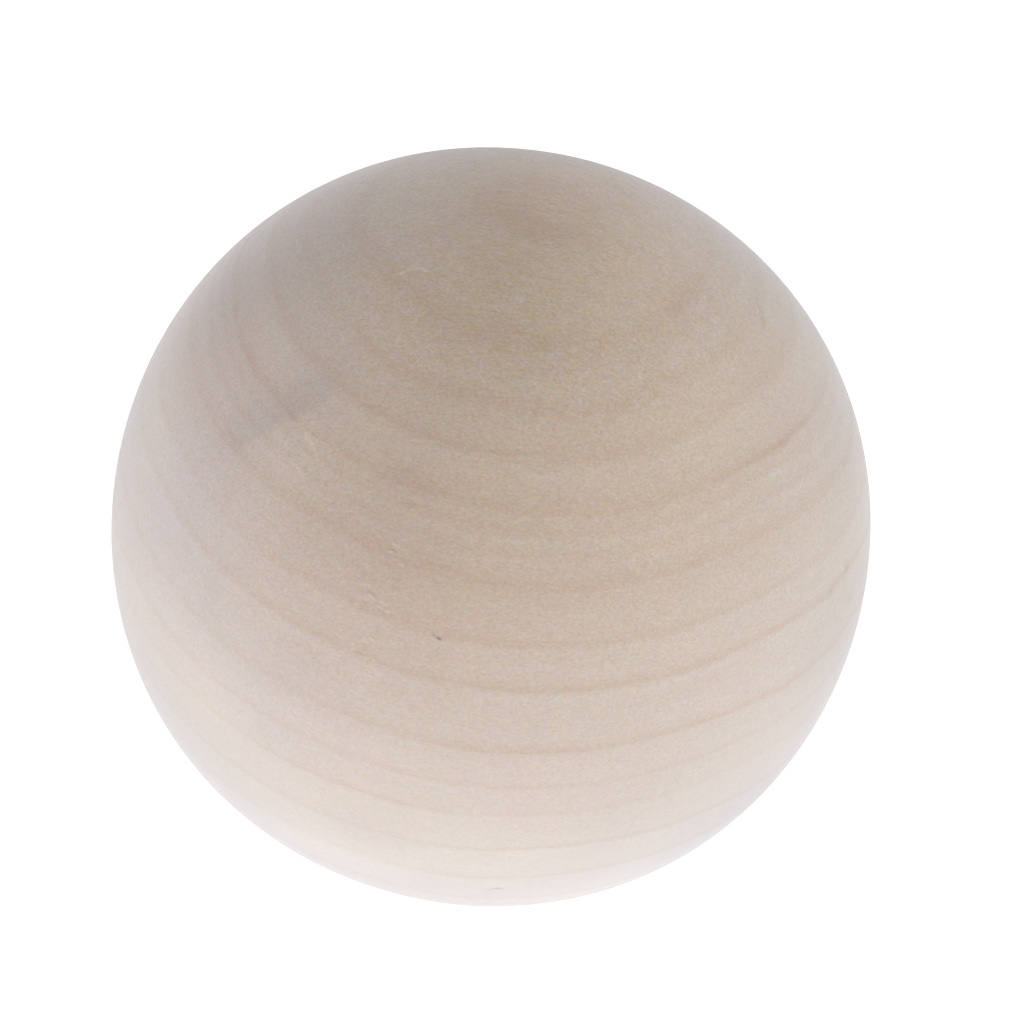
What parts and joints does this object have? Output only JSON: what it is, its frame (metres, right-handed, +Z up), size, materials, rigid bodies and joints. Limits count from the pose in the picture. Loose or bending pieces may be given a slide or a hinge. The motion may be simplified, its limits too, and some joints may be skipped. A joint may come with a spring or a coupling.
{
  "type": "wooden ball",
  "caption": "Plain solid ball turned from pale close-grained hardwood, sanded smooth and left bare, with no hole or flat, for crafts, desk play or use as a rolling or bearing ball.",
  "frame": {"origin": "centre of the ball", "axes": "+Z up, towards the bark side of the blank, +X roughly along the grain, -Y the front of the ball"},
  "size_m": [0.06, 0.06, 0.06],
  "materials": {
    "bare_wood": "bare, fine sanded, matt"
  },
  "bodies": {
    "root": {"ball": "bare_wood"}
  },
  "joints": []
}
